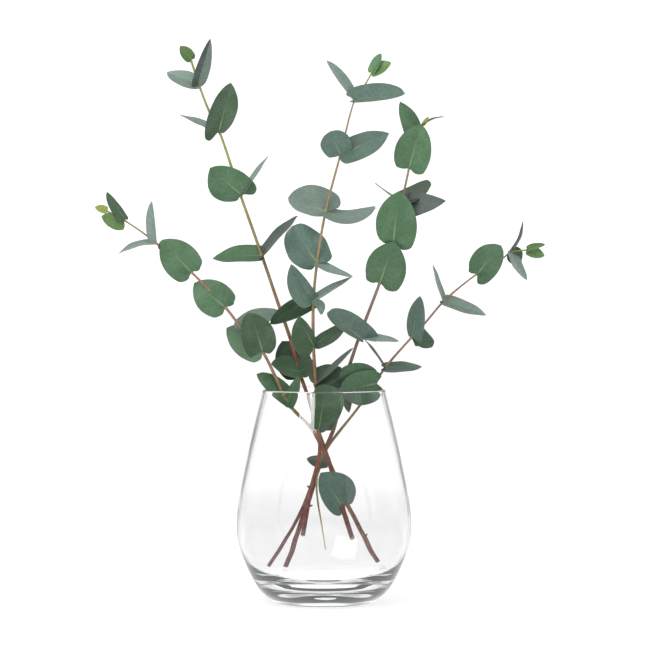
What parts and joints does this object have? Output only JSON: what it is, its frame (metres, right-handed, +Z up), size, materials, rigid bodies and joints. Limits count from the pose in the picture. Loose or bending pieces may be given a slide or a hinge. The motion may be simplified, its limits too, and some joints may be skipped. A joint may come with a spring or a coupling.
{
  "type": "eucalyptus branches in a glass vase",
  "caption": "Cut branches of young eucalyptus with round, stalkless leaves, standing in a clear tapered glass vase with a thick base.",
  "frame": {"origin": "middle of the vase's flat underside, on the surface it stands on", "axes": "+Z up along the vase's axis, -Y towards the viewer of the picture, +X to the viewer's right"},
  "size_m": [0.3618, 0.14, 0.4548],
  "materials": {
    "clear_glass": "polished",
    "sprig_tall_left": "satin",
    "sprig_centre": "satin",
    "sprig_tall_right": "satin",
    "sprig_low_right": "satin",
    "sprig_low_left": "satin"
  },
  "bodies": {
    "root": {"vase": "clear_glass", "sprig_tall_left": "sprig_tall_left", "sprig_centre": "sprig_centre", "sprig_tall_right": "sprig_tall_right", "sprig_low_right": "sprig_low_right", "sprig_low_left": "sprig_low_left"}
  },
  "joints": []
}
